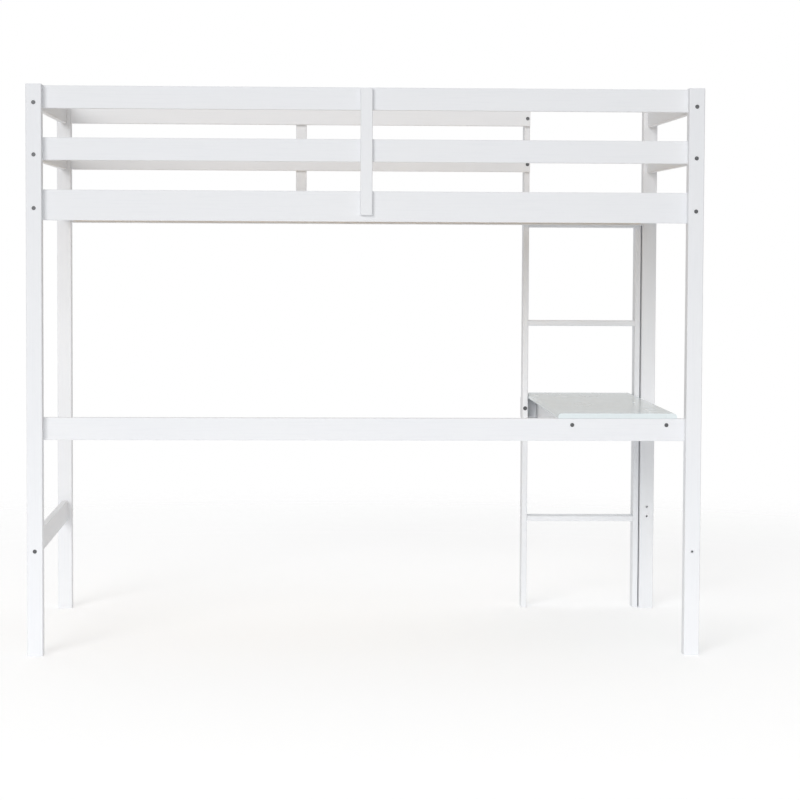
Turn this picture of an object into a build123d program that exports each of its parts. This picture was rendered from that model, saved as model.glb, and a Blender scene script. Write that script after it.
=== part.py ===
from build123d import *
import os

# Loft bed with a desk board, in millimetres.
# X runs along the bed. The -Y side stands against the wall and carries the desk rail, the +Y side
# has the ladder, and +Z is up. The origin is on the floor, in the middle of the whole outline.

os.makedirs("parts", exist_ok=True)

# Overall sizes
bed_length = 1990.0
frame_depth = 1076.0
post_height = 1680.0
post_w = 46.0                   # along X
post_d = 50.0                   # along Y

# Board stock
rail_t = 19.0
rail_h = 67.0
bed_rail_h = 90.0
edge_r = 2.5                    # eased long edges

# Heights of the boards' centre lines above the floor
guard_levels = {"upper": 1643.5, "lower": 1492.0}
bed_rail_z = 1328.0
end_bed_rail_z = 1336.0
desk_rail_z = 670.5
stretcher_z = 328.0

# Ladder
stile_t = 18.0
stile_d = 67.0
stile_gap = 3.0                 # between the outer stile and the post beside it
ladder_clear = 357.0            # between the two stiles
rung_t = 18.0
rung_r = 3.0
rung_levels = (300.0, 628.0, 956.0, 1284.0)

# Desk
board_w = 355.0
board_t = 15.0
board_nose_r = 11.0             # rounded long edges
bearer_xs = {"left": 614.0, "right": 895.0}

# Mattress base
ledge_t = 20.0
ledge_h = 28.0
ledge_z = 1304.0
slat_w = 70.0
slat_t = 15.0
slat_count = 13
slat_pitch = 150.0
slat_play = 2.0

# Guard-rail braces
brace_w = 35.0
brace_t = 18.0
brace_bottom = 1303.0
brace_top = 1674.0
brace_screw_z = 1350.0

# Bolts, threaded inserts, dowels and screws
bolt_r = 3.0
bolt_hole_r = 3.5
head_r = 5.8
head_t = 2.5
head_sink = 0.5
seat_r = 6.2
seat_depth = head_sink + head_t
socket_r = 2.3
socket_depth = 1.6
big_head_r = 6.6
big_seat_r = 7.0
insert_r = 4.95
insert_bore_r = 3.05
insert_length = 14.0
insert_hole_r = 5.0
insert_hole_depth = 20.0
post_bolt_length = 60.0
board_bolt_length = 34.0
stile_bolt_length = 77.0
dowel_r = 4.0
dowel_hole_r = 4.05
dowel_length = 30.0
dowel_hole_depth = 15.5
short_dowel_length = 22.0
short_dowel_hole_depth = 11.5
bolt_offset = 18.0              # bolt to board centre in an end-rail joint, the bolt below
dowel_offset = 14.0             # dowel to board centre in an end-rail joint, the dowel above
side_dowel_drop = 22.0          # dowel below the bolt in a side-rail joint
stile_bolt_drop = 8.0           # bolt below the guard rail's centre at the inner stile
screw_r = 2.0
screw_hole_r = 2.1
screw_head_r = 3.8
screw_sink_r = 4.2
screw_head_sink = 0.3
screw_cone_depth = 2.07
screw_point = 4.0

# Positions that follow from the sizes
overall_depth = frame_depth - (post_d - rail_t) + stile_d + rail_t
wall_face_y = -overall_depth / 2
wall_inner_y = wall_face_y + post_d
ladder_face_y = wall_face_y + frame_depth
ladder_inner_y = ladder_face_y - post_d
half_length = bed_length / 2
post_x = half_length - post_w / 2
post_inner_x = half_length - post_w
wall_rail_y = wall_inner_y - rail_t / 2
ladder_rail_y = ladder_inner_y + rail_t / 2
stile_front_y = ladder_inner_y + rail_t
stile_y = stile_front_y + stile_d / 2
stile_back_y = stile_front_y + stile_d
cross_rail_y = stile_back_y + rail_t / 2
outer_stile_x = post_inner_x - stile_gap - stile_t / 2
inner_stile_x = outer_stile_x - ladder_clear - stile_t
stile_xs = (inner_stile_x, outer_stile_x)
ladder_x = (inner_stile_x + outer_stile_x) / 2
guard_end_x = inner_stile_x + stile_t / 2
desk_under = desk_rail_z + rail_h / 2
board_front_y = wall_inner_y - rail_t
board_back_y = stile_back_y + rail_t
guard_top = guard_levels["upper"] + rail_h / 2
bed_rail_top = bed_rail_z + bed_rail_h / 2
ladder_brace_x = (guard_end_x - post_inner_x) / 2
ledge_top = ledge_z + ledge_h / 2
slat_top = ledge_top + slat_t

LEFT, RIGHT = (-1, 0, 0), (1, 0, 0)
TO_WALL, TO_LADDER = (0, -1, 0), (0, 1, 0)
UP, DOWN = (0, 0, 1), (0, 0, -1)
ends = {"left": -1, "right": 1}

# Heights of the bolts and dowels in each kind of corner joint
guard_zs = list(guard_levels.values())
end_levels = {"upper": guard_levels["upper"], "lower": guard_levels["lower"], "bed": end_bed_rail_z,
              "stretcher": stretcher_z}
end_bolt_zs = {name: z - bolt_offset for name, z in end_levels.items()}
end_dowel_zs = {name: z + dowel_offset for name, z in end_levels.items()}
bed_bolt_zs = [bed_rail_z - 28, bed_rail_z + 9]
desk_bolt_z = desk_rail_z + dowel_offset
desk_dowel_z = desk_rail_z - bolt_offset
stile_guard_bolt_zs = [z - stile_bolt_drop for z in guard_zs]
stile_bed_bolt_z = bed_rail_z + 22
stile_bed_dowel_z = bed_rail_z - 9


def facing(x, y, z, outward):
    """A plane lying on a surface, with its normal pointing out of the wood."""
    return Plane(origin=(x, y, z), z_dir=outward)


def along_x(x, y, z):
    """A plane for the section of a board that runs along X: sketch X is depth, sketch Y is height."""
    return Plane(origin=(x, y, z), x_dir=TO_LADDER, z_dir=RIGHT)


def along_y(x, y, z):
    """A plane for the section of a board that runs along Y: sketch X is width, sketch Y is height."""
    return Plane(origin=(x, y, z), x_dir=LEFT, z_dir=TO_LADDER)


def save(piece, name):
    piece.part.label = name
    export_step(piece.part, f"parts/{name}.step")


# ---------------------------------------------------------------- posts
# Bolts for the end rails enter the outer Y faces, bolts for the side rails the outer X faces.
# All four posts have the holes for a low stretcher, which is fitted at the left end only.
rows = {
    "wall": dict(y=wall_face_y + post_d / 2, outer=wall_face_y, inner=wall_inner_y, rail=wall_rail_y,
                 out=TO_WALL, into=TO_LADDER),
    "ladder": dict(y=ladder_face_y - post_d / 2, outer=ladder_face_y, inner=ladder_inner_y,
                   rail=ladder_rail_y, out=TO_LADDER, into=TO_WALL),
}
single_bolt_zs = {
    ("wall", "left"): guard_zs + [desk_rail_z],
    ("wall", "right"): guard_zs + [desk_rail_z],
    ("ladder", "left"): guard_zs,
    ("ladder", "right"): [],
}
for (row_name, end_name), bolt_zs in single_bolt_zs.items():
    row = rows[row_name]
    sx = ends[end_name]
    with BuildPart() as corner_post:
        with BuildSketch(Plane.XY):
            with Locations((sx * post_x, row["y"])):
                RectangleRounded(post_w, post_d, edge_r)
        extrude(amount=post_height)
        chamfer(corner_post.faces().sort_by(Axis.Z)[-1].edges(), length=1.2)
        chamfer(corner_post.faces().sort_by(Axis.Z)[0].edges(), length=1.2)
        with Locations(*[facing(sx * post_x, row["outer"], z, row["out"]) for z in end_bolt_zs.values()]):
            CounterBoreHole(bolt_hole_r, seat_r, seat_depth, depth=post_d)
        with Locations(*[facing(sx * half_length, row["rail"], z, (sx, 0, 0))
                         for z in bolt_zs + bed_bolt_zs]):
            CounterBoreHole(bolt_hole_r, seat_r, seat_depth, depth=post_w)
        with Locations(*[facing(sx * post_x, row["inner"], z, row["into"]) for z in end_dowel_zs.values()]):
            Hole(dowel_hole_r, depth=dowel_hole_depth)
        if bolt_zs:
            with Locations(*[facing(sx * post_inner_x, row["rail"], z - side_dowel_drop, (-sx, 0, 0))
                             for z in bolt_zs]):
                Hole(dowel_hole_r, depth=dowel_hole_depth)
    save(corner_post, f"post_{row_name}_{end_name}")

# ---------------------------------------------------------------- end rails
# Boards across each end, centred on the posts. The low stretcher is at the left end only.
end_joints = [(end_name, level) for end_name in ends for level in end_levels
              if (end_name, level) != ("right", "stretcher")]
for end_name, level in end_joints:
    rail_x = ends[end_name] * post_x
    with BuildPart() as end_rail:
        with BuildSketch(along_y(rail_x, wall_inner_y, end_levels[level])):
            RectangleRounded(rail_t, rail_h, edge_r)
        extrude(amount=ladder_inner_y - wall_inner_y)
        with Locations(facing(rail_x, wall_inner_y, end_bolt_zs[level], TO_WALL),
                       facing(rail_x, ladder_inner_y, end_bolt_zs[level], TO_LADDER)):
            Hole(insert_hole_r, depth=insert_hole_depth)
        with Locations(facing(rail_x, wall_inner_y, end_dowel_zs[level], TO_WALL),
                       facing(rail_x, ladder_inner_y, end_dowel_zs[level], TO_LADDER)):
            Hole(dowel_hole_r, depth=dowel_hole_depth)
    save(end_rail, f"end_rail_{end_name}_{level}")

# ---------------------------------------------------------------- wall-side guard rails and desk rail
# They butt between the wall-side posts, flush with the posts' inner faces.
wall_rails = {"guard_rail_wall_upper": guard_levels["upper"], "guard_rail_wall_lower": guard_levels["lower"],
              "desk_rail": desk_rail_z}
for rail_name, rail_z in wall_rails.items():
    with BuildPart() as wall_rail:
        with BuildSketch(along_x(-post_inner_x, wall_rail_y, rail_z)):
            RectangleRounded(rail_t, rail_h, edge_r)
        extrude(amount=2 * post_inner_x)
        with Locations(facing(-post_inner_x, wall_rail_y, rail_z, LEFT),
                       facing(post_inner_x, wall_rail_y, rail_z, RIGHT)):
            Hole(insert_hole_r, depth=insert_hole_depth)
        with Locations(facing(-post_inner_x, wall_rail_y, rail_z - side_dowel_drop, LEFT),
                       facing(post_inner_x, wall_rail_y, rail_z - side_dowel_drop, RIGHT)):
            Hole(dowel_hole_r, depth=dowel_hole_depth)
        if rail_name == "desk_rail":
            with Locations(*[facing(x, board_front_y, desk_bolt_z, TO_WALL) for x in bearer_xs.values()]):
                CounterBoreHole(bolt_hole_r, seat_r, seat_depth, depth=rail_t)
            with Locations(*[facing(x, wall_inner_y, desk_dowel_z, TO_LADDER) for x in bearer_xs.values()]):
                Hole(dowel_hole_r, depth=short_dowel_hole_depth)
        else:
            with Locations(facing(0, wall_inner_y, rail_z, TO_LADDER)):
                CounterSinkHole(screw_hole_r, screw_sink_r, depth=rail_t)
    save(wall_rail, rail_name)

# ---------------------------------------------------------------- ladder-side guard rails
# They run from the left post to the inner stile of the ladder and are bolted to its edge.
for level, rail_z in guard_levels.items():
    with BuildPart() as ladder_guard_rail:
        with BuildSketch(along_x(-post_inner_x, ladder_rail_y, rail_z)):
            RectangleRounded(rail_t, rail_h, edge_r)
        extrude(amount=guard_end_x + post_inner_x)
        with Locations(facing(-post_inner_x, ladder_rail_y, rail_z, LEFT)):
            Hole(insert_hole_r, depth=insert_hole_depth)
        with Locations(facing(-post_inner_x, ladder_rail_y, rail_z - side_dowel_drop, LEFT)):
            Hole(dowel_hole_r, depth=dowel_hole_depth)
        with Locations(facing(inner_stile_x, ladder_inner_y, rail_z - stile_bolt_drop, TO_WALL)):
            CounterBoreHole(bolt_hole_r, seat_r, seat_depth, depth=rail_t)
        with Locations(facing(ladder_brace_x, stile_front_y, rail_z, TO_LADDER)):
            Hole(screw_hole_r, depth=rail_t - 4)
    save(ladder_guard_rail, f"guard_rail_ladder_{level}")

# ---------------------------------------------------------------- bed rails
# The two deep rails carry the mattress base. The ladder hangs on the outside of one of them.
ledge_screw_xs = [sx * x for sx in (-1, 1) for x in (225.0, 525.0, 825.0)]
for row_name, row in rows.items():
    with BuildPart() as bed_rail:
        with BuildSketch(along_x(-post_inner_x, row["rail"], bed_rail_z)):
            RectangleRounded(rail_t, bed_rail_h, edge_r)
        extrude(amount=2 * post_inner_x)
        with Locations(*[facing(sx * post_inner_x, row["rail"], z, (sx, 0, 0))
                         for sx in (-1, 1) for z in bed_bolt_zs]):
            Hole(insert_hole_r, depth=insert_hole_depth)
        with Locations(*[facing(x, row["inner"], ledge_z, row["into"]) for x in ledge_screw_xs]):
            Hole(screw_hole_r, depth=rail_t - 4)
        if row_name == "wall":
            with Locations(facing(0, wall_inner_y, brace_screw_z, TO_LADDER)):
                CounterSinkHole(screw_hole_r, screw_sink_r, depth=rail_t)
        else:
            with Locations(facing(ladder_brace_x, stile_front_y, brace_screw_z, TO_LADDER)):
                Hole(screw_hole_r, depth=rail_t - 4)
            with Locations(*[facing(x, ladder_inner_y, stile_bed_bolt_z, TO_WALL) for x in stile_xs]):
                CounterBoreHole(bolt_hole_r, seat_r, seat_depth, depth=rail_t)
            with Locations(*[facing(x, stile_front_y, stile_bed_dowel_z, TO_LADDER) for x in stile_xs]):
                Hole(dowel_hole_r, depth=short_dowel_hole_depth)
    save(bed_rail, f"bed_rail_{row_name}")

# ---------------------------------------------------------------- guard-rail braces
# An upright batten on the outside of each pair of guard rails, reaching down over the bed rail.
brace_zs = guard_zs + [brace_screw_z]
with BuildPart() as wall_brace:
    with BuildSketch(Plane.XY.offset(brace_bottom)):
        with Locations((0, board_front_y - brace_t / 2)):
            RectangleRounded(brace_w, brace_t, edge_r)
    extrude(amount=brace_top - brace_bottom)
    with Locations(*[facing(0, board_front_y, z, TO_LADDER) for z in brace_zs]):
        Hole(screw_hole_r, depth=brace_t - 4)
save(wall_brace, "guard_brace_wall")

with BuildPart() as ladder_brace:
    with BuildSketch(Plane.XY.offset(brace_bottom)):
        with Locations((ladder_brace_x, stile_front_y + brace_t / 2)):
            RectangleRounded(brace_w, brace_t, edge_r)
    extrude(amount=brace_top - brace_bottom)
    with Locations(*[facing(ladder_brace_x, stile_front_y + brace_t, z, TO_LADDER) for z in brace_zs]):
        CounterSinkHole(screw_hole_r, screw_sink_r, depth=brace_t)
save(ladder_brace, "guard_brace_ladder")

# ---------------------------------------------------------------- ladder stiles
# The inner stile runs up to the top of the guard rails, the outer one stops at the bed rail.
rung_screw_ys = (stile_y - 16, stile_y + 16)
stiles = {
    "inner": dict(x=inner_stile_x, top=guard_top, out=-1, bolts=stile_guard_bolt_zs + [stile_bed_bolt_z]),
    "outer": dict(x=outer_stile_x, top=bed_rail_top, out=1, bolts=[stile_bed_bolt_z]),
}
for stile_name, spec in stiles.items():
    with BuildPart() as stile:
        with BuildSketch(Plane.XY):
            with Locations((spec["x"], stile_y)):
                RectangleRounded(stile_t, stile_d, edge_r)
        extrude(amount=spec["top"])
        with Locations(*[facing(spec["x"], stile_front_y, z, TO_WALL) for z in spec["bolts"]]):
            Hole(insert_hole_r, depth=insert_hole_depth)
        with Locations(facing(spec["x"], stile_front_y, stile_bed_dowel_z, TO_WALL)):
            Hole(dowel_hole_r, depth=short_dowel_hole_depth)
        with Locations(facing(spec["x"], stile_front_y, desk_rail_z, TO_WALL)):
            CounterBoreHole(bolt_hole_r, big_seat_r, seat_depth, depth=stile_d)
        with Locations(*[facing(spec["x"] + spec["out"] * stile_t / 2, y, z, (spec["out"], 0, 0))
                         for y in rung_screw_ys for z in rung_levels]):
            CounterSinkHole(screw_hole_r, screw_sink_r, depth=stile_t)
    save(stile, f"ladder_stile_{stile_name}")

# ---------------------------------------------------------------- ladder rungs
# Flat treads between the stiles. The second one also carries the desk bearers.
for number, rung_z in enumerate(rung_levels, start=1):
    with BuildPart() as rung:
        with BuildSketch(along_x(ladder_x - ladder_clear / 2, stile_y, rung_z)):
            RectangleRounded(stile_d, rung_t, rung_r)
        extrude(amount=ladder_clear)
        with Locations(*[facing(ladder_x + sx * ladder_clear / 2, y, rung_z, (sx, 0, 0))
                         for sx in (-1, 1) for y in rung_screw_ys]):
            Hole(screw_hole_r, depth=34)
    save(rung, f"ladder_rung_{number}")

# ---------------------------------------------------------------- desk
# Two bearers run from the desk rail, over the second rung, to a cross rail bolted behind the
# ladder. The board lies on the bearers and on both rails, located by short dowels.
board_dowel_ys = (-350.0, 0.0, 350.0)
for bearer_name, bearer_x in bearer_xs.items():
    with BuildPart() as bearer:
        with BuildSketch(along_y(bearer_x, wall_inner_y, desk_rail_z)):
            RectangleRounded(rail_t, rail_h, edge_r)
        extrude(amount=stile_back_y - wall_inner_y)
        with Locations(facing(bearer_x, wall_inner_y, desk_bolt_z, TO_WALL),
                       facing(bearer_x, stile_back_y, desk_bolt_z, TO_LADDER)):
            Hole(insert_hole_r, depth=insert_hole_depth)
        with Locations(facing(bearer_x, wall_inner_y, desk_dowel_z, TO_WALL),
                       facing(bearer_x, stile_back_y, desk_dowel_z, TO_LADDER)):
            Hole(dowel_hole_r, depth=short_dowel_hole_depth)
        with Locations(*[facing(bearer_x, y, desk_under, UP) for y in board_dowel_ys]):
            Hole(dowel_hole_r, depth=short_dowel_hole_depth)
    save(bearer, f"desk_bearer_{bearer_name}")

cross_rail_length = ladder_clear + 2 * stile_t
with BuildPart() as cross_rail:
    with BuildSketch(along_x(ladder_x - cross_rail_length / 2, cross_rail_y, desk_rail_z)):
        RectangleRounded(rail_t, rail_h, edge_r)
    extrude(amount=cross_rail_length)
    with Locations(*[facing(x, board_back_y, desk_bolt_z, TO_LADDER) for x in bearer_xs.values()]):
        CounterBoreHole(bolt_hole_r, seat_r, seat_depth, depth=rail_t)
    with Locations(*[facing(x, stile_back_y, desk_dowel_z, TO_WALL) for x in bearer_xs.values()]):
        Hole(dowel_hole_r, depth=short_dowel_hole_depth)
    with Locations(*[facing(x, stile_back_y, desk_rail_z, TO_WALL) for x in stile_xs]):
        Hole(insert_hole_r, depth=rail_t - 3)
save(cross_rail, "desk_cross_rail")

with BuildPart() as desk_board:
    with BuildSketch(along_y(ladder_x, board_front_y, desk_under + board_t / 2)) as board_section:
        Rectangle(board_w, board_t)
        fillet(board_section.vertices().group_by(Axis.Y)[-1], radius=board_nose_r)
        fillet(board_section.vertices().group_by(Axis.Y)[0], radius=1.5)
    extrude(amount=board_back_y - board_front_y)
    with Locations(*[facing(x, y, desk_under, DOWN) for x in bearer_xs.values() for y in board_dowel_ys]):
        Hole(dowel_hole_r, depth=short_dowel_hole_depth)
save(desk_board, "desk_board")

# ---------------------------------------------------------------- mattress base
# A ledge is screwed inside each bed rail, and the slats are screwed down on the ledges.
ledge_length = 2 * (post_inner_x - 9)
slat_xs = [(i - (slat_count - 1) / 2) * slat_pitch for i in range(slat_count)]
ledge_ys = {row_name: row["inner"] + row["into"][1] * ledge_t / 2 for row_name, row in rows.items()}
for row_name, ledge_y in ledge_ys.items():
    row = rows[row_name]
    with BuildPart() as ledge:
        with BuildSketch(along_x(-ledge_length / 2, ledge_y, ledge_z)):
            RectangleRounded(ledge_t, ledge_h, edge_r)
        extrude(amount=ledge_length)
        with Locations(*[facing(x, ledge_y + row["into"][1] * ledge_t / 2, ledge_z, row["into"])
                         for x in ledge_screw_xs]):
            CounterSinkHole(screw_hole_r, screw_sink_r, depth=ledge_t)
        with Locations(*[facing(x, ledge_y, ledge_top, UP) for x in slat_xs]):
            Hole(screw_hole_r, depth=20)
    save(ledge, f"slat_ledge_{row_name}")

for number, slat_x in enumerate(slat_xs, start=1):
    with BuildPart() as slat:
        with BuildSketch(along_y(slat_x, wall_inner_y + slat_play, slat_top - slat_t / 2)):
            RectangleRounded(slat_w, slat_t, edge_r)
        extrude(amount=ladder_inner_y - wall_inner_y - 2 * slat_play)
        with Locations(*[facing(slat_x, y, slat_top, UP) for y in ledge_ys.values()]):
            CounterSinkHole(screw_hole_r, screw_sink_r, depth=slat_t)
    save(slat, f"slat_{number:02d}")

# ---------------------------------------------------------------- bolts
# Flat-headed hexagon-socket bolts. Each is drawn with the face of the wood at the origin and its
# head sunk just below it, then placed on the planes of its joints.
bolts = {}
bolt_sizes = {"post": (head_r, post_bolt_length), "board": (head_r, board_bolt_length),
              "stile": (big_head_r, stile_bolt_length)}
for kind, (radius, length) in bolt_sizes.items():
    with BuildPart() as bolt:
        with BuildSketch(Plane.XY.offset(-seat_depth)):
            Circle(radius)
        extrude(amount=head_t)
        fillet(bolt.faces().sort_by(Axis.Z)[-1].edges(), radius=0.8)
        with BuildSketch(Plane.XY.offset(-head_sink)):
            RegularPolygon(socket_r, 6)
        extrude(amount=-socket_depth, mode=Mode.SUBTRACT)
        with BuildSketch(Plane.XY.offset(-seat_depth)):
            Circle(bolt_r)
        extrude(amount=-length)
        chamfer(bolt.faces().sort_by(Axis.Z)[0].edges(), length=0.8)
    bolts[kind] = bolt.part

side_joints = [(row_name, end_name, z) for (row_name, end_name), zs in single_bolt_zs.items()
               for z in zs + bed_bolt_zs]
bolt_groups = {
    "end_rail_bolts": ("post", [facing(ends[end_name] * post_x, row["outer"], end_bolt_zs[level], row["out"])
                                for end_name, level in end_joints for row in rows.values()]),
    "side_rail_bolts": ("post", [facing(ends[end_name] * half_length, rows[row_name]["rail"], z,
                                        (ends[end_name], 0, 0)) for row_name, end_name, z in side_joints]),
    "ladder_bolts": ("board", [facing(spec["x"], ladder_inner_y, z, TO_WALL)
                               for spec in stiles.values() for z in spec["bolts"]]),
    "desk_bolts": ("board", [facing(x, y, desk_bolt_z, out) for x in bearer_xs.values()
                             for y, out in ((board_front_y, TO_WALL), (board_back_y, TO_LADDER))]),
    "cross_rail_bolts": ("stile", [facing(x, stile_front_y, desk_rail_z, TO_WALL) for x in stile_xs]),
}
for group_name, (kind, places) in bolt_groups.items():
    with BuildPart() as bolt_group:
        with Locations(*places):
            add(bolts[kind])
    save(bolt_group, group_name)

# ---------------------------------------------------------------- threaded inserts
# A threaded sleeve sits in the second board of each joint, its mouth flush with the joint face.
with BuildPart() as insert:
    with BuildSketch(Plane.XY):
        Circle(insert_r)
        Circle(insert_bore_r, mode=Mode.SUBTRACT)
    extrude(amount=-insert_length)

insert_places = [facing(ends[end_name] * post_x, row["inner"], end_bolt_zs[level], row["out"])
                 for end_name, level in end_joints for row in rows.values()]
insert_places += [facing(ends[end_name] * post_inner_x, rows[row_name]["rail"], z, (ends[end_name], 0, 0))
                  for row_name, end_name, z in side_joints]
insert_places += [facing(spec["x"], stile_front_y, z, TO_WALL)
                  for spec in stiles.values() for z in spec["bolts"]]
insert_places += [facing(x, y, desk_bolt_z, out) for x in bearer_xs.values()
                  for y, out in ((wall_inner_y, TO_WALL), (stile_back_y, TO_LADDER))]
insert_places += [facing(x, stile_back_y, desk_rail_z, TO_WALL) for x in stile_xs]
with BuildPart() as threaded_inserts:
    with Locations(*insert_places):
        add(insert.part)
save(threaded_inserts, "threaded_inserts")

# ---------------------------------------------------------------- dowels
# Wooden dowels lie half in each board, with a short chamfer at both ends.
dowels = {}
for kind, length in {"long": dowel_length, "short": short_dowel_length}.items():
    with BuildPart() as dowel:
        with BuildSketch(Plane.XY.offset(-length / 2)):
            Circle(dowel_r)
        extrude(amount=length)
        chamfer(dowel.edges().filter_by(GeomType.CIRCLE), length=0.8)
    dowels[kind] = dowel.part

long_places = [facing(ends[end_name] * post_x, row["inner"], end_dowel_zs[level], row["out"])
               for end_name, level in end_joints for row in rows.values()]
long_places += [facing(ends[end_name] * post_inner_x, rows[row_name]["rail"], z - side_dowel_drop, RIGHT)
                for (row_name, end_name), zs in single_bolt_zs.items() for z in zs]
short_places = [facing(x, y, desk_dowel_z, TO_LADDER) for x in bearer_xs.values()
                for y in (wall_inner_y, stile_back_y)]
short_places += [facing(x, y, desk_under, UP) for x in bearer_xs.values() for y in board_dowel_ys]
short_places += [facing(x, stile_front_y, stile_bed_dowel_z, TO_LADDER) for x in stile_xs]
with BuildPart() as joint_dowels:
    with Locations(*long_places):
        add(dowels["long"])
    with Locations(*short_places):
        add(dowels["short"])
save(joint_dowels, "joint_dowels")

# ---------------------------------------------------------------- screws
# Cross-slotted countersunk screws, drawn and placed like the bolts.
screw_groups = {
    "brace_screws": (30.0, [facing(0, wall_inner_y, z, TO_LADDER) for z in brace_zs]
                     + [facing(ladder_brace_x, stile_front_y + brace_t, z, TO_LADDER) for z in brace_zs]),
    "ledge_screws": (33.0, [facing(x, ledge_ys[row_name] + row["into"][1] * ledge_t / 2, ledge_z,
                                   row["into"]) for row_name, row in rows.items() for x in ledge_screw_xs]),
    "rung_screws": (48.0, [facing(spec["x"] + spec["out"] * stile_t / 2, y, z, (spec["out"], 0, 0))
                           for spec in stiles.values() for y in rung_screw_ys for z in rung_levels]),
    "slat_screws": (32.0, [facing(x, y, slat_top, UP) for x in slat_xs for y in ledge_ys.values()]),
}
for group_name, (length, places) in screw_groups.items():
    with BuildPart() as screw:
        with BuildSketch(Plane.XY.offset(-screw_head_sink)):
            Circle(screw_head_r)
        with BuildSketch(Plane.XY.offset(-screw_head_sink - screw_cone_depth)):
            Circle(screw_r)
        loft()
        with BuildSketch(Plane.XY.offset(-screw_head_sink - screw_cone_depth)):
            Circle(screw_r)
        extrude(amount=-(length - screw_head_sink - screw_cone_depth - screw_point))
        with BuildSketch(Plane.XY.offset(-length + screw_point)):
            Circle(screw_r)
        extrude(amount=-screw_point, taper=22)
        with BuildSketch(Plane.XY.offset(-screw_head_sink)):
            RectangleRounded(4.0, 1.0, 0.3)
            RectangleRounded(1.0, 4.0, 0.3)
        extrude(amount=-1.2, mode=Mode.SUBTRACT)
    with BuildPart() as screw_group:
        with Locations(*places):
            add(screw.part)
    save(screw_group, group_name)
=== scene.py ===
import math

import bpy
from mathutils import Euler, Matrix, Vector


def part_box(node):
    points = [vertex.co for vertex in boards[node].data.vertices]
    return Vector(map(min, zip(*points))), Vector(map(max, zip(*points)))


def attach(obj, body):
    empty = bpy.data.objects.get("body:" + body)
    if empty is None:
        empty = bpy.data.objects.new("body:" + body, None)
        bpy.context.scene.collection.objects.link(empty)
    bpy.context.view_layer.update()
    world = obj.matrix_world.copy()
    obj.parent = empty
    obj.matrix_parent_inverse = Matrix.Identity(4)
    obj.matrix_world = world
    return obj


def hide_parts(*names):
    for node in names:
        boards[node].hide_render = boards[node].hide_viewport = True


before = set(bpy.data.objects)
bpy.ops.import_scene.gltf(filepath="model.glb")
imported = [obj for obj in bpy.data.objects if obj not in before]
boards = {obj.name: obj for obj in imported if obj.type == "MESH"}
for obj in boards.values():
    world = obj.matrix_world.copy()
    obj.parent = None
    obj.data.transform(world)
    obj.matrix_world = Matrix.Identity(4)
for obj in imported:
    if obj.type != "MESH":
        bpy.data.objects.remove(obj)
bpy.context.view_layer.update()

# ---------------------------------------------------------------- posts
# Four square softwood posts, planed, eased along their edges and sprayed white. The spray
# leaves a fine orange peel, and the grain of the pine still shows through it very faintly.
# All lengths in this file are in metres.
PAINT = (0.825, 0.835, 0.855, 1.0)
PAINT_SHADE = (0.810, 0.821, 0.843, 1.0)
THIN_PAINT = (0.975, 0.978, 0.985, 1.0)     # multiplies the paint where it lies thinner
WHITE = (1.0, 1.0, 1.0, 1.0)
PAINT_ROUGH = (0.38, 0.52)
PAINT_RELIEF = 0.12             # how strongly the grain shows as relief
GRAIN_LENGTH = 0.14             # how far a streak of grain runs along the board
GRAIN_WIDTH = 0.005
GRAIN_DEPTH = 0.00025
CLOUD_LENGTH = 0.5              # broad clouds where the paint is thicker or thinner
CLOUD_WIDTH = 0.16
PEEL_SIZE = 0.0016
PEEL_DEPTH = 0.00006
PEEL_OVER_GRAIN = 2.5           # the peel's relief against the grain's
NOISE_ROUGHNESS = 0.55
AXES = {"X": 0, "Y": 1, "Z": 2}


def feed(links, socket, value):
    """Join a socket to another node's output, or set it to a plain value."""
    if isinstance(value, bpy.types.NodeSocket):
        links.new(value, socket)
    else:
        socket.default_value = value


def new_material(name):
    """A material, its node and link lists to add to, and its surface shader."""
    material = bpy.data.materials.new(name)
    material.use_nodes = True
    nodes, links = material.node_tree.nodes, material.node_tree.links
    return material, nodes, links, nodes["Principled BSDF"]


def stretched_noise(nodes, links, along, length, width, detail):
    """Noise on Object coordinates, drawn out along one axis, as wood grain is."""
    place = nodes.new("ShaderNodeTexCoord")
    stretch = nodes.new("ShaderNodeMapping")
    scale = [1 / width] * 3
    scale[AXES[along]] = 1 / length
    stretch.inputs["Scale"].default_value = scale
    noise = nodes.new("ShaderNodeTexNoise")
    noise.inputs["Scale"].default_value = 1.0
    noise.inputs["Detail"].default_value = detail
    noise.inputs["Roughness"].default_value = NOISE_ROUGHNESS
    links.new(place.outputs["Object"], stretch.inputs["Vector"])
    links.new(stretch.outputs["Vector"], noise.inputs["Vector"])
    return noise.outputs["Fac"]


def ramp(nodes, links, source, low, low_colour, high, high_colour):
    """Colours between two values of a pattern."""
    blend = nodes.new("ShaderNodeValToRGB")
    blend.color_ramp.elements[0].position = low
    blend.color_ramp.elements[0].color = low_colour
    blend.color_ramp.elements[1].position = high
    blend.color_ramp.elements[1].color = high_colour
    links.new(source, blend.inputs["Fac"])
    return blend.outputs["Color"]


def mixed(nodes, links, first, second, factor, blend_type="MIX"):
    """Two colours mixed, or multiplied."""
    mix = nodes.new("ShaderNodeMix")
    mix.data_type = "RGBA"
    mix.blend_type = blend_type
    for socket, value in (("Factor", factor), ("A", first), ("B", second)):
        feed(links, mix.inputs[socket], value)
    return mix.outputs["Result"]


def spread(nodes, links, source, low, high, start=0.3, end=0.7, shape="LINEAR"):
    """A pattern's values from start to end, moved to values from low to high."""
    move = nodes.new("ShaderNodeMapRange")
    move.interpolation_type = shape
    for socket, value in (("Value", source), ("From Min", start), ("From Max", end),
                          ("To Min", low), ("To Max", high)):
        feed(links, move.inputs[socket], value)
    return move.outputs["Result"]


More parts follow.
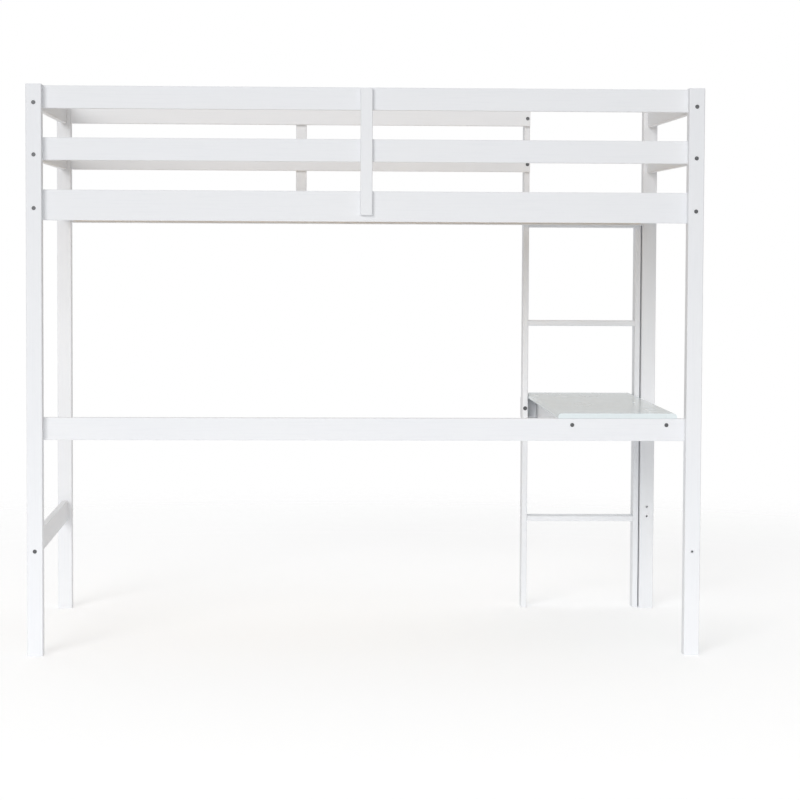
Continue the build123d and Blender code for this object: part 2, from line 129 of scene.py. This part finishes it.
def bump(nodes, links, height, depth, strength, under=None):
    """A relief of the given depth, on top of another one if there is one."""
    relief = nodes.new("ShaderNodeBump")
    relief.inputs["Distance"].default_value = depth
    relief.inputs["Strength"].default_value = strength
    links.new(height, relief.inputs["Height"])
    if under:
        links.new(under, relief.inputs["Normal"])
    return relief.outputs["Normal"]


def painted_wood(name, along, paint=PAINT, shade=PAINT_SHADE, rough=PAINT_ROUGH,
                 relief=PAINT_RELIEF):
    """Paint over softwood whose grain runs along one axis."""
    material, nodes, links, surface = new_material(name)
    grain = stretched_noise(nodes, links, along, GRAIN_LENGTH, GRAIN_WIDTH, detail=4.0)
    cloud = stretched_noise(nodes, links, along, CLOUD_LENGTH, CLOUD_WIDTH, detail=2.0)
    peel = stretched_noise(nodes, links, along, PEEL_SIZE, PEEL_SIZE, detail=1.0)
    streaks = ramp(nodes, links, grain, 0.34, shade, 0.5, paint)
    clouds = ramp(nodes, links, cloud, 0.35, THIN_PAINT, 0.65, WHITE)
    colour = mixed(nodes, links, streaks, clouds, 1.0, "MULTIPLY")
    grain_relief = bump(nodes, links, grain, GRAIN_DEPTH, relief)
    peel_relief = bump(nodes, links, peel, PEEL_DEPTH, PEEL_OVER_GRAIN * relief, grain_relief)
    links.new(colour, surface.inputs["Base Color"])
    links.new(spread(nodes, links, cloud, *rough), surface.inputs["Roughness"])
    links.new(peel_relief, surface.inputs["Normal"])
    return material


def paint_nodes(names, material):
    """Give CAD pieces their finish."""
    for name in names:
        boards[name].data.materials.clear()
        boards[name].data.materials.append(material)


SIDES = ("left", "right")
ROWS = ("wall", "ladder")
upright_paint = painted_wood("white paint on upright wood", "Z")
paint_nodes([f"post_{row}_{side}" for row in ROWS for side in SIDES], upright_paint)

# ---------------------------------------------------------------- end rails
# Flat pine boards across both ends, painted like the posts, each held by a bolt and a dowel at
# either end. The low stretcher is at the left end only.
crosswise_paint = painted_wood("white paint on crosswise wood", "Y")
end_rail_names = [name for name in boards
                  if name.startswith("end_rail_") and name != "end_rail_bolts"]
paint_nodes(end_rail_names, crosswise_paint)

# ---------------------------------------------------------------- side rails
# The long guard rails, the two deep bed rails and the desk rail, all painted pine boards. They
# butt against the posts, but the ladder-side guard rails stop at the ladder.
lengthwise_paint = painted_wood("white paint on lengthwise wood", "X")
paint_nodes([f"guard_rail_{row}_{level}" for row in ROWS for level in ("upper", "lower")],
            lengthwise_paint)
paint_nodes(["bed_rail_wall", "bed_rail_ladder", "desk_rail"], lengthwise_paint)

# ---------------------------------------------------------------- braces, stiles and rungs
# Two upright battens tie the guard rails together, and the ladder's stiles stand on the floor.
# The flat rungs between the stiles have their treads worn a little smoother.
RUNG_COUNT = 4
WORN_ROUGH = (0.30, 0.46)

paint_nodes(["guard_brace_wall", "guard_brace_ladder", "ladder_stile_inner", "ladder_stile_outer"],
            upright_paint)
paint_nodes([f"ladder_rung_{number}" for number in range(1, RUNG_COUNT + 1)],
            painted_wood("white paint on rungs", "X", rough=WORN_ROUGH))

# ---------------------------------------------------------------- desk
# The desk board is smooth and glossier than the frame, with nosed long edges. Its white paint is
# darkened and tinted grey-green as painted shade from the bed above it.
# It lies on two painted bearers and a cross rail.
# Both desk colours hold painted shade: the frame's white paint, darkened and tinted grey-green for
# the shade under the bed.
DESK_PAINT_IN_PAINTED_SHADE = (0.735, 0.80, 0.815, 1.0)
DESK_GRAIN_IN_PAINTED_SHADE = (0.725, 0.79, 0.805, 1.0)
DESK_ROUGH = (0.22, 0.30)
DESK_RELIEF = 0.03
DESK_COAT = 0.35
DESK_COAT_ROUGH = 0.12

desk_paint_in_painted_shade = painted_wood("semi-gloss desk paint in painted shade", "Y", DESK_PAINT_IN_PAINTED_SHADE, DESK_GRAIN_IN_PAINTED_SHADE, DESK_ROUGH,
                          DESK_RELIEF)
desk_surface = desk_paint_in_painted_shade.node_tree.nodes["Principled BSDF"]
desk_surface.inputs["Coat Weight"].default_value = DESK_COAT
desk_surface.inputs["Coat Roughness"].default_value = DESK_COAT_ROUGH
paint_nodes(["desk_board"], desk_paint_in_painted_shade)
paint_nodes(["desk_bearer_left", "desk_bearer_right"], crosswise_paint)
paint_nodes(["desk_cross_rail"], lengthwise_paint)

# ---------------------------------------------------------------- mattress base
# Two ledges along the bed rails carry thirteen slats. All are bare planed pine, with yellow
# early wood, darker late wood and knots.
PINE_LIGHT = (0.74, 0.58, 0.38, 1.0)
PINE_DARK = (0.56, 0.37, 0.19, 1.0)
BARE_ROUGH = (0.52, 0.70)
BARE_RELIEF = 0.35
GROWTH_LENGTH = 0.35            # growth lines, drawn out along the board
GROWTH_WIDTH = 0.009
GROWTH_DEPTH = 0.0003
FIBRE_LENGTH = 0.03
FIBRE_WIDTH = 0.0006
FIBRE_DEPTH = 0.0001
KNOT = (0.24, 0.12, 0.05, 1.0)
BLACK = (0.0, 0.0, 0.0, 1.0)
KNOT_SPACING = 0.13
KNOT_CORE = 0.05                # fully dark up to here, in knot spacings
KNOT_EDGE = 0.10                # and gone from here


def bare_wood(name, along, light, dark, knotted):
    """Planed wood with growth lines along one axis, and knots if it is pine."""
    material, nodes, links, surface = new_material(name)
    growth = stretched_noise(nodes, links, along, GROWTH_LENGTH, GROWTH_WIDTH, detail=5.0)
    fibre = stretched_noise(nodes, links, along, FIBRE_LENGTH, FIBRE_WIDTH, detail=2.0)
    colour = ramp(nodes, links, growth, 0.38, dark, 0.58, light)
    if knotted:
        place = nodes.new("ShaderNodeTexCoord")
        knots = nodes.new("ShaderNodeTexVoronoi")
        knots.inputs["Scale"].default_value = 1 / KNOT_SPACING
        links.new(place.outputs["Object"], knots.inputs["Vector"])
        in_knot = ramp(nodes, links, knots.outputs["Distance"], KNOT_CORE, WHITE, KNOT_EDGE, BLACK)
        colour = mixed(nodes, links, colour, KNOT, in_knot)
    growth_relief = bump(nodes, links, growth, GROWTH_DEPTH, BARE_RELIEF)
    fibre_relief = bump(nodes, links, fibre, FIBRE_DEPTH, BARE_RELIEF, growth_relief)
    links.new(colour, surface.inputs["Base Color"])
    links.new(spread(nodes, links, growth, *BARE_ROUGH), surface.inputs["Roughness"])
    links.new(fibre_relief, surface.inputs["Normal"])
    return material


slat_names = [name for name in boards if name.startswith("slat_") and name[-1].isdigit()]
paint_nodes(["slat_ledge_wall", "slat_ledge_ladder"],
            bare_wood("bare pine ledges", "X", PINE_LIGHT, PINE_DARK, knotted=True))
paint_nodes(slat_names, bare_wood("bare pine slats", "Y", PINE_LIGHT, PINE_DARK, knotted=True))

# ---------------------------------------------------------------- dowels and threaded sleeves
# Turned beech dowels keep the boards from twisting, and yellow zinc sleeves take the bolts. Both
# are out of sight inside the joints.
BEECH_LIGHT = (0.70, 0.50, 0.32, 1.0)
BEECH_DARK = (0.56, 0.37, 0.21, 1.0)
SLEEVE = (0.62, 0.52, 0.30, 1.0)
SLEEVE_ROUGH = (0.30, 0.45)
DULLED = 0.75                   # the plating's brightness in its dull clouds
PLATING_CLOUD = 0.003
TUMBLE_MARK = 0.0006            # marks left when the parts were tumbled
TUMBLE_DEPTH = 0.00003
TUMBLE_RELIEF = 0.4


def plated_metal(name, colour, rough):
    """Metal whose plating is slightly clouded, with fine marks from tumbling."""
    material, nodes, links, surface = new_material(name)
    cloud = stretched_noise(nodes, links, "Z", PLATING_CLOUD, PLATING_CLOUD, detail=3.0)
    marks = stretched_noise(nodes, links, "Z", TUMBLE_MARK, TUMBLE_MARK, detail=2.0)
    dull = [channel * DULLED for channel in colour[:3]] + [1.0]
    links.new(ramp(nodes, links, cloud, 0.35, dull, 0.6, colour), surface.inputs["Base Color"])
    links.new(spread(nodes, links, cloud, *rough), surface.inputs["Roughness"])
    links.new(bump(nodes, links, marks, TUMBLE_DEPTH, TUMBLE_RELIEF), surface.inputs["Normal"])
    surface.inputs["Metallic"].default_value = 1.0
    return material


paint_nodes(["joint_dowels"],
            bare_wood("turned beech", "Y", BEECH_LIGHT, BEECH_DARK, knotted=False))
paint_nodes(["threaded_inserts"], plated_metal("yellow zinc", SLEEVE, SLEEVE_ROUGH))

# ---------------------------------------------------------------- bolts
# Dark flat-headed bolts with hexagon sockets, each sunk just below the wood in its counterbore.
# One tree makes a bolt from its sizes and sets it on every place, turned to face outwards.
DARK_OXIDE = (0.13, 0.133, 0.138, 1.0)
OXIDE_ROUGH = (0.34, 0.50)
HEAD_SINK = 0.0005
HEAD_THICK = 0.0025
HEAD_CHAMFER = 0.0007
HEAD_SIDES = 32
SMALL_HEAD = 0.0058
BIG_HEAD = 0.0066
SOCKET_RADIUS = 0.0023
SOCKET_DEPTH = 0.0016
SHANK_RADIUS = 0.003
SHANK_SIDES = 20
RAIL_SHANK = 0.060              # through a post into a rail's end
BOARD_SHANK = 0.034             # through a thin board
CROSS_RAIL_SHANK = 0.077        # through a stile into the cross rail
CUT_BELOW = 0.004               # how far the chamfer's 45-degree cutter reaches below the face
CUT_ABOVE = 0.001               # how far every cutter stands past the face
END_BOLT_DROP = 0.018           # below the middle of an end rail
BED_RAIL_BOLTS = (-0.028, 0.009)
DESK_BOLT_RISE = 0.014
STILE_BOLT_DROP = 0.008
STILE_BED_BOLT_RISE = 0.022


def math_of(nodes, links, operation, *values):
    """The result of a Math node on outputs or plain numbers."""
    step = nodes.new("ShaderNodeMath")
    step.operation = operation
    for socket, value in zip(step.inputs, values):
        feed(links, socket, value)
    return step.outputs["Value"]


def bolt_maker(name):
    """Geometry nodes for a bolt: a turned head with a socket, and a plain shank."""
    tree = bpy.data.node_groups.new(name, "GeometryNodeTree")
    face = tree.interface
    face.new_socket("Geometry", in_out="INPUT", socket_type="NodeSocketGeometry")
    for size in ("Head Radius", "Head Thickness", "Edge Chamfer", "Sink", "Socket Radius",
                 "Socket Depth", "Shank Radius", "Shank Length"):
        face.new_socket(size, in_out="INPUT", socket_type="NodeSocketFloat")
    face.new_socket("Socket Sides", in_out="INPUT", socket_type="NodeSocketInt")
    face.new_socket("Finish", in_out="INPUT", socket_type="NodeSocketMaterial")
    face.new_socket("Geometry", in_out="OUTPUT", socket_type="NodeSocketGeometry")
    nodes, links = tree.nodes, tree.links
    given = nodes.new("NodeGroupInput").outputs

    def total(first, second):
        return math_of(nodes, links, "ADD", first, second)

    def less(first, second):
        return math_of(nodes, links, "SUBTRACT", first, second)

    def cone(sides, foot, top, depth, base_z):
        """A cone or a prism standing on the height base_z."""
        shape = nodes.new("GeometryNodeMeshCone")
        for socket, value in (("Vertices", sides), ("Radius Bottom", foot), ("Radius Top", top),
                              ("Depth", depth)):
            feed(links, shape.inputs[socket], value)
        lift = nodes.new("ShaderNodeCombineXYZ")
        move = nodes.new("GeometryNodeTransform")
        links.new(base_z, lift.inputs["Z"])
        links.new(shape.outputs["Mesh"], move.inputs["Geometry"])
        links.new(lift.outputs["Vector"], move.inputs["Translation"])
        return move.outputs["Geometry"]

    def common(first, second):
        """What two solids share."""
        cut = nodes.new("GeometryNodeMeshBoolean")
        cut.operation = "INTERSECT"
        links.new(first, cut.inputs["Mesh 2"])
        links.new(second, cut.inputs["Mesh 2"])
        return cut.outputs["Mesh"]

    def without(solid, tool):
        """A solid with the tool's shape taken out of it."""
        cut = nodes.new("GeometryNodeMeshBoolean")
        cut.operation = "DIFFERENCE"
        links.new(solid, cut.inputs["Mesh 1"])
        links.new(tool, cut.inputs["Mesh 2"])
        return cut.outputs["Mesh"]

    # The head, with its edge chamfered all round and the socket cut into it.
    top_z = math_of(nodes, links, "MULTIPLY", given["Sink"], -1.0)
    seat_z = less(top_z, given["Head Thickness"])
    blank = cone(HEAD_SIDES, given["Head Radius"], given["Head Radius"], given["Head Thickness"],
                 seat_z)
    flat_radius = less(given["Head Radius"], given["Edge Chamfer"])
    chamfer = cone(HEAD_SIDES, total(flat_radius, CUT_BELOW), less(flat_radius, CUT_ABOVE),
                   CUT_BELOW + CUT_ABOVE, less(top_z, CUT_BELOW))
    socket_tool = cone(given["Socket Sides"], given["Socket Radius"], given["Socket Radius"],
                       total(given["Socket Depth"], CUT_ABOVE), less(top_z, given["Socket Depth"]))
    head = without(common(blank, chamfer), socket_tool)
    shank = cone(SHANK_SIDES, given["Shank Radius"], given["Shank Radius"], given["Shank Length"],
                 less(seat_z, given["Shank Length"]))
    bolt = nodes.new("GeometryNodeJoinGeometry")
    links.new(head, bolt.inputs["Geometry"])
    links.new(shank, bolt.inputs["Geometry"])

    # One bolt on each point, its head turned to the point's outward direction.
    outward = nodes.new("GeometryNodeInputNamedAttribute")
    outward.data_type = "FLOAT_VECTOR"
    outward.inputs["Name"].default_value = "outward"
    turn = nodes.new("FunctionNodeAlignRotationToVector")
    turn.axis = "Z"
    placed = nodes.new("GeometryNodeInstanceOnPoints")
    real = nodes.new("GeometryNodeRealizeInstances")
    finish = nodes.new("GeometryNodeSetMaterial")
    links.new(outward.outputs["Attribute"], turn.inputs["Vector"])
    links.new(given["Geometry"], placed.inputs["Points"])
    links.new(bolt.outputs["Geometry"], placed.inputs["Instance"])
    links.new(turn.outputs["Rotation"], placed.inputs["Rotation"])
    links.new(placed.outputs["Instances"], real.inputs["Geometry"])
    links.new(real.outputs["Geometry"], finish.inputs["Geometry"])
    links.new(given["Finish"], finish.inputs["Material"])
    links.new(finish.outputs["Geometry"], nodes.new("NodeGroupOutput").inputs["Geometry"])
    return tree


bolt_tree = bolt_maker("socket-headed bolt")
BOLT = {"Head Thickness": HEAD_THICK, "Edge Chamfer": HEAD_CHAMFER, "Sink": HEAD_SINK,
        "Socket Radius": SOCKET_RADIUS, "Socket Depth": SOCKET_DEPTH, "Socket Sides": 6,
        "Shank Radius": SHANK_RADIUS, "Finish": plated_metal("dark oxide", DARK_OXIDE, OXIDE_ROUGH)}


def set_bolts(name, cad_node, places, shank_length, head_radius=SMALL_HEAD):
    """One mesh of equal bolts, each on its (point, outward direction), for a CAD node's."""
    points = bpy.data.meshes.new(name + "_places")
    points.from_pydata([place for place, out in places], [], [])
    outward = points.attributes.new("outward", "FLOAT_VECTOR", "POINT")
    for item, (place, out) in zip(outward.data, places):
        item.vector = out
    holder = bpy.data.objects.new(name + "_places", points)
    bpy.context.scene.collection.objects.link(holder)
    maker = holder.modifiers.new("bolts", "NODES")
    maker.node_group = bolt_tree
    values = {**BOLT, "Shank Length": shank_length, "Head Radius": head_radius}
    for item in bolt_tree.interface.items_tree:
        if item.in_out == "INPUT" and item.name in values:
            maker[item.identifier] = values[item.name]
    made = holder.evaluated_get(bpy.context.evaluated_depsgraph_get())
    baked = bpy.data.meshes.new_from_object(made)
    bpy.data.objects.remove(holder)
    baked.name = name
    piece = bpy.data.objects.new(name, baked)
    bpy.context.scene.collection.objects.link(piece)
    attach(piece, "root")
    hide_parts(cad_node)


def middle(name):
    """The centre of a CAD piece."""
    low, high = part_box(name)
    return (low + high) / 2


wall_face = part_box("post_wall_left")[0].y
ladder_inner, ladder_face = (corner.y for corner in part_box("post_ladder_left"))
half_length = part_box("post_wall_right")[1].x
inner_stile, outer_stile = middle("ladder_stile_inner"), middle("ladder_stile_outer")
stile_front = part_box("ladder_stile_inner")[0].y
to_wall, to_ladder = (0, -1, 0), (0, 1, 0)

# Through the posts into the end rails, from both faces.
places = [((middle(name).x, y, middle(name).z - END_BOLT_DROP), out)
          for name in end_rail_names
          for y, out in ((wall_face, to_wall), (ladder_face, to_ladder))]
set_bolts("end_rail_bolt_set", "end_rail_bolts", places, RAIL_SHANK)

# Through the posts into the side rails. A ladder-side guard rail meets a post at its left only.
places = [((end * half_length, middle(name).y, middle(name).z), (end, 0, 0))
          for name in ("guard_rail_wall_upper", "guard_rail_wall_lower", "desk_rail")
          for end in (-1, 1)]
places += [((-half_length, middle(name).y, middle(name).z), (-1, 0, 0))
           for name in ("guard_rail_ladder_upper", "guard_rail_ladder_lower")]
places += [((end * half_length, middle(name).y, middle(name).z + rise), (end, 0, 0))
           for name in ("bed_rail_wall", "bed_rail_ladder") for end in (-1, 1)
           for rise in BED_RAIL_BOLTS]
set_bolts("side_rail_bolt_set", "side_rail_bolts", places, RAIL_SHANK)

# Through the ladder-side rails into the stiles.
places = [((inner_stile.x, ladder_inner, middle(name).z - STILE_BOLT_DROP), to_wall)
          for name in ("guard_rail_ladder_upper", "guard_rail_ladder_lower")]
places += [((stile.x, ladder_inner, middle("bed_rail_ladder").z + STILE_BED_BOLT_RISE), to_wall)
           for stile in (inner_stile, outer_stile)]
set_bolts("ladder_bolt_set", "ladder_bolts", places, BOARD_SHANK)

# Through the desk rail and the cross rail into both ends of each bearer.
places = [((middle(f"desk_bearer_{side}").x, y, middle("desk_rail").z + DESK_BOLT_RISE), out)
          for side in SIDES
          for y, out in ((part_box("desk_rail")[0].y, to_wall),
                         (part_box("desk_cross_rail")[1].y, to_ladder))]
set_bolts("desk_bolt_set", "desk_bolts", places, BOARD_SHANK)

# Through the stiles into the cross rail, with larger heads.
places = [((stile.x, stile_front, middle("desk_rail").z), to_wall)
          for stile in (inner_stile, outer_stile)]
set_bolts("cross_rail_bolt_set", "cross_rail_bolts", places, CROSS_RAIL_SHANK, BIG_HEAD)

# ---------------------------------------------------------------- screws
# Zinc-plated countersunk wood screws with cross slots. They hold the rungs, slats, ledges and
# braces.
ZINC = (0.60, 0.61, 0.62, 1.0)
ZINC_ROUGH = (0.28, 0.42)
paint_nodes(["brace_screws", "ledge_screws", "rung_screws", "slat_screws"],
            plated_metal("bright zinc", ZINC, ZINC_ROUGH))

# ---------------------------------------------------------------- studio
# A pale floor that fades out into a white backdrop, and soft light from overhead and from the
# backdrop. Two large soft lamps stand in front of the wall side: one on the left, and a weaker
# one close beside the camera.
FLOOR_COLOUR = (0.90, 0.90, 0.90, 1.0)
FLOOR_ROUGH = 0.9
FLOOR_SPECULAR = 0.1
FLOOR_GLOW = 0.24
FLOOR_RADIUS = 5.0
FLOOR_SOLID = 2.2               # the floor starts to fade this far from the middle
SKY_LOW = 0.12                  # light from the horizon
SKY_OVERHEAD = 0.9              # added overhead, with the square of the height
BACKDROP_GLOW = 0.54            # added towards +Y, where the backdrop hangs
BACKDROP_START = 0.1            # along Y, on the unit sphere of directions
BACKDROP_FULL = 0.8
LAMP_DISTANCE = 30.0
LAMP_AIM = Vector((0.0, wall_face, 1.1))
LAMPS = {                       # direction, width and power
    "soft_key": (Vector((-0.34, -0.90, 0.28)), 13.0, 3600.0),
    "soft_fill": (Vector((0.06, -0.98, 0.14)), 13.0, 1560.0),
}

floor_mesh = bpy.data.meshes.new("floor")
floor_mesh.from_pydata([(x * FLOOR_RADIUS, y * FLOOR_RADIUS, 0.0)
                        for x, y in ((-1, -1), (1, -1), (1, 1), (-1, 1))], [], [(0, 1, 2, 3)])
floor = bpy.data.objects.new("floor", floor_mesh)
bpy.context.scene.collection.objects.link(floor)
floor_finish, nodes, links, surface = new_material("pale floor")
surface.inputs["Base Color"].default_value = FLOOR_COLOUR
surface.inputs["Roughness"].default_value = FLOOR_ROUGH
surface.inputs["Specular IOR Level"].default_value = FLOOR_SPECULAR
surface.inputs["Emission Color"].default_value = WHITE
surface.inputs["Emission Strength"].default_value = FLOOR_GLOW
reach = nodes.new("ShaderNodeVectorMath")
reach.operation = "LENGTH"
links.new(nodes.new("ShaderNodeTexCoord").outputs["Object"], reach.inputs[0])
fade = spread(nodes, links, reach.outputs["Value"], 1.0, 0.0, FLOOR_SOLID, FLOOR_RADIUS,
              "SMOOTHSTEP")
links.new(fade, surface.inputs["Alpha"])
floor_mesh.materials.append(floor_finish)

world = bpy.data.worlds.new("studio")
bpy.context.scene.world = world
world.use_nodes = True
nodes, links = world.node_tree.nodes, world.node_tree.links
backdrop = nodes["Background"]
backdrop.inputs["Color"].default_value = WHITE
direction = nodes.new("ShaderNodeSeparateXYZ")
links.new(nodes.new("ShaderNodeTexCoord").outputs["Generated"], direction.inputs["Vector"])
height = spread(nodes, links, direction.outputs["Z"], 0.0, 1.0, 0.0, 1.0)
sky = math_of(nodes, links, "MULTIPLY_ADD", math_of(nodes, links, "POWER", height, 2.0),
              SKY_OVERHEAD, SKY_LOW)
behind = spread(nodes, links, direction.outputs["Y"], 0.0, BACKDROP_GLOW, BACKDROP_START,
                BACKDROP_FULL, "SMOOTHSTEP")
level = nodes.new("ShaderNodeMix")
seen = nodes.new("ShaderNodeLightPath")
links.new(seen.outputs["Is Camera Ray"], level.inputs["Factor"])
links.new(math_of(nodes, links, "ADD", sky, behind), level.inputs["A"])
level.inputs["B"].default_value = 1.0
links.new(level.outputs["Result"], backdrop.inputs["Strength"])

for name, (towards, width, power) in LAMPS.items():
    lamp_data = bpy.data.lights.new(name, "AREA")
    lamp_data.shape = "DISK"
    lamp_data.size = width
    lamp_data.energy = power
    lamp = bpy.data.objects.new(name, lamp_data)
    lamp.location = LAMP_AIM + towards.normalized() * LAMP_DISTANCE
    lamp.rotation_euler = towards.to_track_quat("Z", "Y").to_euler()
    bpy.context.scene.collection.objects.link(lamp)

# ---------------------------------------------------------------- camera
# A long lens between the desk and the bed in height, almost square to the wall side. It looks
# slightly down and to the right.
CAMERA_PLACE = Vector((-0.210, -8.365, 1.221))
CAMERA_YAW = math.radians(2.282)
CAMERA_PITCH = math.radians(3.384)
CAMERA_ROLL = math.radians(0.271)
CAMERA_LENS = 119.4             # millimetres, as is the sensor
CAMERA_SENSOR = 36.0
CAMERA_REACH = 100.0

camera_data = bpy.data.cameras.new("camera")
camera_data.lens = CAMERA_LENS
camera_data.sensor_width = CAMERA_SENSOR
camera_data.clip_end = CAMERA_REACH
camera = bpy.data.objects.new("camera", camera_data)
camera.location = CAMERA_PLACE
aim = Euler((math.pi / 2 - CAMERA_PITCH, 0.0, -CAMERA_YAW)).to_matrix()
camera.rotation_euler = (aim @ Euler((0.0, 0.0, CAMERA_ROLL)).to_matrix()).to_euler()
bpy.context.scene.collection.objects.link(camera)
bpy.context.scene.camera = camera
bpy.context.scene.view_settings.view_transform = "Standard"

bpy.context.view_layer.update()
